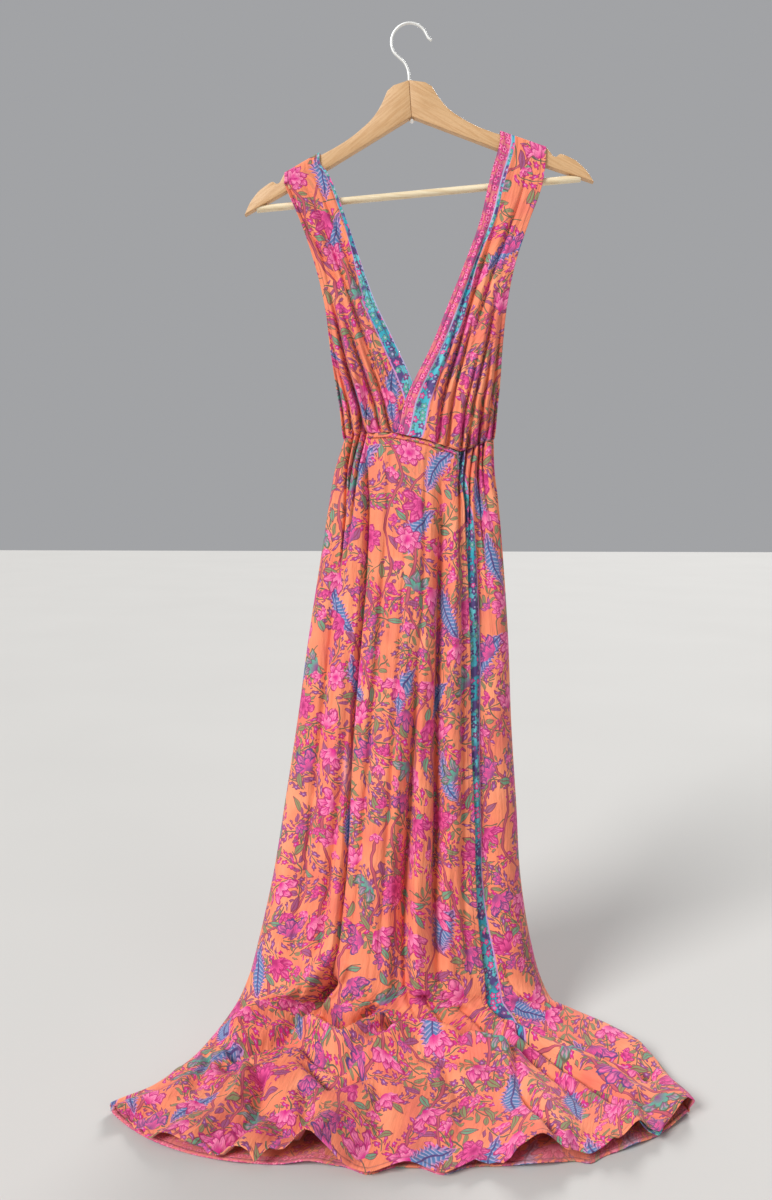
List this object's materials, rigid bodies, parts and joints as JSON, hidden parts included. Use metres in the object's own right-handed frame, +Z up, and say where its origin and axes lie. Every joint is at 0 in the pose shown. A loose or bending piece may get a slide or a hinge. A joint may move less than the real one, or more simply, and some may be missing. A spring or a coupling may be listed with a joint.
{
  "type": "wrap-front maxi dress on a wooden hanger",
  "caption": "Sleeveless maxi dress with wide gathered straps, deep V front and back, elastic waist and wrap-front printed skirt, hung on a wooden bar hanger with its hem trailing on the floor.",
  "frame": {"origin": "inside the top of the hanger's hook, where a rail or wall hook carries it", "axes": "+X to the viewer's right, +Y away from the viewer towards the dress's back, +Z up"},
  "size_m": [0.674, 0.3664, 1.3094],
  "materials": {
    "print": "crinkled printed crepe",
    "wood": "clear satin varnish",
    "dowel": "pale bare dowel",
    "steel": "bright nickel-plated wire"
  },
  "bodies": {
    "root": {"bodice_front_left": "print", "bodice_front_right": "print", "bodice_back_left": "print", "bodice_back_right": "print", "waist_piping": "print", "skirt_front": "print", "skirt_front_right": "print", "skirt_back": "print", "hanger_arm_left": "wood", "hanger_arm_right": "wood", "hanger_bar": "dowel", "hanger_hook": "steel"}
  },
  "joints": []
}
